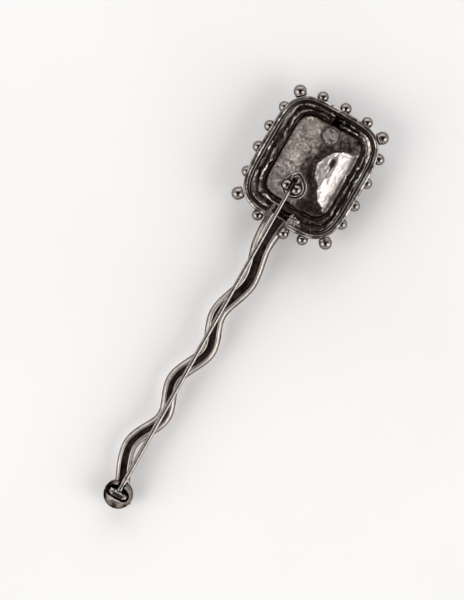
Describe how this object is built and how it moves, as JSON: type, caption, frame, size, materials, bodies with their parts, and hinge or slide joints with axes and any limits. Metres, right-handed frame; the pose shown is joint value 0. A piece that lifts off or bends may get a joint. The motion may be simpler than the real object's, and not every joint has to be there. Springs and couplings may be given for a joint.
{
  "type": "jewelled hair pin",
  "caption": "Jewelled hair pin with a beaded rectangular head, a serpentine channel stem, and a hinged needle that locks in a rotating catch.",
  "frame": {"origin": "under the middle of the pin's bounding box, on the surface that the pin lies on, face down", "axes": "+Y along the pin from the tail ball to the head, +Z out of the pin's back, +X across"},
  "size_m": [0.0304, 0.1142, 0.0109],
  "materials": {
    "cast_metal": "dark plated casting, satin with polished edges",
    "bead_metal": "dark plated, polished",
    "wire_metal": "dark plated drawn wire and turned fittings",
    "stone_glass": "faceted, foil-backed"
  },
  "bodies": {
    "pin_body": {"head_shell": "cast_metal", "rim_frame": "cast_metal", "stone_bezel": "bead_metal", "front_stone": "stone_glass", "oval_plaque": "bead_metal", "corner_bead_1": "bead_metal", "corner_bead_2": "bead_metal", "corner_bead_3": "bead_metal", "corner_bead_4": "bead_metal", "end_bead_1": "bead_metal", "end_bead_2": "bead_metal", "end_bead_3": "bead_metal", "stem_side_bead_1": "bead_metal", "stem_side_bead_2": "bead_metal", "stem_side_bead_3": "bead_metal", "right_bead_1": "bead_metal", "right_bead_2": "bead_metal", "right_bead_3": "bead_metal", "right_bead_4": "bead_metal", "left_bead_1": "bead_metal", "left_bead_2": "bead_metal", "left_bead_3": "bead_metal", "left_bead_4": "bead_metal", "stem_channel": "cast_metal", "tail_ball": "bead_metal", "hinge_rivet": "wire_metal", "hinge_ear_left": "wire_metal", "hinge_ear_right": "wire_metal", "catch_pad": "cast_metal", "catch_housing": "wire_metal"},
    "needle_body": {"needle": "wire_metal", "needle_knuckle": "wire_metal"},
    "catch_body": {"catch_drum": "wire_metal", "catch_knob_left": "bead_metal", "catch_knob_right": "bead_metal"}
  },
  "joints": [
    {"name": "needle_hinge", "type": "hinge", "parent": "pin_body", "child": "needle_body", "pos_m": [-0.00125, -0.05375, 0.0044], "axis": [1, 0, 0], "range_deg": [0, 75]},
    {"name": "catch_turn", "type": "hinge", "parent": "pin_body", "child": "catch_body", "pos_m": [-0.00185, 0.0325, 0.00945], "axis": [0, 1, 0], "range_deg": [0, 90]}
  ]
}
